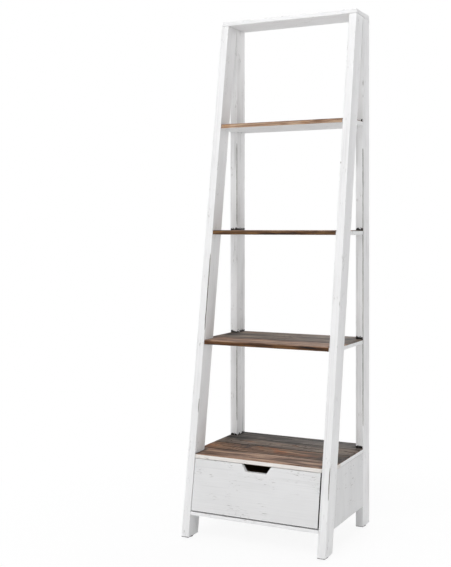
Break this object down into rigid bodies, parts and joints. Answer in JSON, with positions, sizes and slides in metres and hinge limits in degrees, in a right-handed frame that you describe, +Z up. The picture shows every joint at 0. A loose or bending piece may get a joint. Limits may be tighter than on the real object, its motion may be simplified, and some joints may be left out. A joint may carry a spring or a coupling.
{
  "type": "ladder shelf",
  "caption": "Leaning-look ladder shelf: raked front legs on plumb back legs, open plank shelves and a low drawer case with a cut-out grip.",
  "frame": {"origin": "on the floor at the middle of the footprint", "axes": "+X to the right as seen from the front, +Y to the back, +Z up"},
  "size_m": [0.525, 0.45, 1.83],
  "materials": {
    "white_paint": "satin white paint over pine, rubbed through along the edges",
    "reclaimed_pine": "brown waxed reclaimed planks",
    "drawer_plywood": "clear lacquered birch plywood",
    "beech": "bare",
    "zinc_plated_steel": "zinc plated",
    "bright_steel": "bright",
    "black_nylon": "matt"
  },
  "bodies": {
    "carcass": {"left_front_leg": "white_paint", "right_front_leg": "white_paint", "left_back_leg": "white_paint", "right_back_leg": "white_paint", "top_board": "white_paint", "upper_shelf_plank_1": "reclaimed_pine", "upper_shelf_plank_2": "reclaimed_pine", "middle_shelf_plank_1": "reclaimed_pine", "middle_shelf_plank_2": "reclaimed_pine", "middle_shelf_plank_3": "reclaimed_pine", "lower_shelf_plank_1": "reclaimed_pine", "lower_shelf_plank_2": "reclaimed_pine", "lower_shelf_plank_3": "reclaimed_pine", "box_top_plank_1": "reclaimed_pine", "box_top_plank_2": "reclaimed_pine", "box_top_plank_3": "reclaimed_pine", "box_top_plank_4": "reclaimed_pine", "left_side_panel": "white_paint", "right_side_panel": "white_paint", "back_panel": "white_paint", "bottom_board": "white_paint", "left_slide_batten": "beech", "right_slide_batten": "beech", "left_fixed_channel": "zinc_plated_steel", "right_fixed_channel": "zinc_plated_steel", "shelf_dowels": "beech", "top_dowels": "beech", "case_dowels": "beech", "fixed_channel_screws": "bright_steel", "foot_glides": "black_nylon", "glide_nails": "bright_steel"},
    "drawer": {"drawer_front": "white_paint", "drawer_left_side": "drawer_plywood", "drawer_right_side": "drawer_plywood", "drawer_back": "drawer_plywood", "drawer_bottom": "drawer_plywood", "left_drawer_channel": "zinc_plated_steel", "right_drawer_channel": "zinc_plated_steel", "drawer_dowels": "beech", "drawer_channel_screws": "bright_steel"},
    "left_slide_middle": {"left_middle_channel": "zinc_plated_steel"},
    "right_slide_middle": {"right_middle_channel": "zinc_plated_steel"},
    "left_fixed_ball_rows": {"left_fixed_cage": "bright_steel", "left_fixed_balls": "bright_steel"},
    "right_fixed_ball_rows": {"right_fixed_cage": "bright_steel", "right_fixed_balls": "bright_steel"},
    "left_drawer_ball_rows": {"left_drawer_cage": "bright_steel", "left_drawer_balls": "bright_steel"},
    "right_drawer_ball_rows": {"right_drawer_cage": "bright_steel", "right_drawer_balls": "bright_steel"}
  },
  "joints": [
    {"name": "drawer_slide", "type": "slide", "parent": "carcass", "child": "drawer", "axis": [0, -1, 0], "range_m": [0, 0.33]},
    {"name": "left_middle_slide", "type": "slide", "parent": "carcass", "child": "left_slide_middle", "axis": [0, -1, 0], "range_m": [0, 0.165]},
    {"name": "left_fixed_row_roll", "type": "slide", "parent": "carcass", "child": "left_fixed_ball_rows", "axis": [0, -1, 0], "range_m": [0, 0.0825]},
    {"name": "left_drawer_row_roll", "type": "slide", "parent": "carcass", "child": "left_drawer_ball_rows", "axis": [0, -1, 0], "range_m": [0, 0.2475]},
    {"name": "right_middle_slide", "type": "slide", "parent": "carcass", "child": "right_slide_middle", "axis": [0, -1, 0], "range_m": [0, 0.165]},
    {"name": "right_fixed_row_roll", "type": "slide", "parent": "carcass", "child": "right_fixed_ball_rows", "axis": [0, -1, 0], "range_m": [0, 0.0825]},
    {"name": "right_drawer_row_roll", "type": "slide", "parent": "carcass", "child": "right_drawer_ball_rows", "axis": [0, -1, 0], "range_m": [0, 0.2475]}
  ],
  "couplings": [
    {"joint": "left_middle_slide", "follows": "drawer_slide", "ratio": 0.5},
    {"joint": "left_fixed_row_roll", "follows": "drawer_slide", "ratio": 0.25},
    {"joint": "left_drawer_row_roll", "follows": "drawer_slide", "ratio": 0.75},
    {"joint": "right_middle_slide", "follows": "drawer_slide", "ratio": 0.5},
    {"joint": "right_fixed_row_roll", "follows": "drawer_slide", "ratio": 0.25},
    {"joint": "right_drawer_row_roll", "follows": "drawer_slide", "ratio": 0.75}
  ]
}
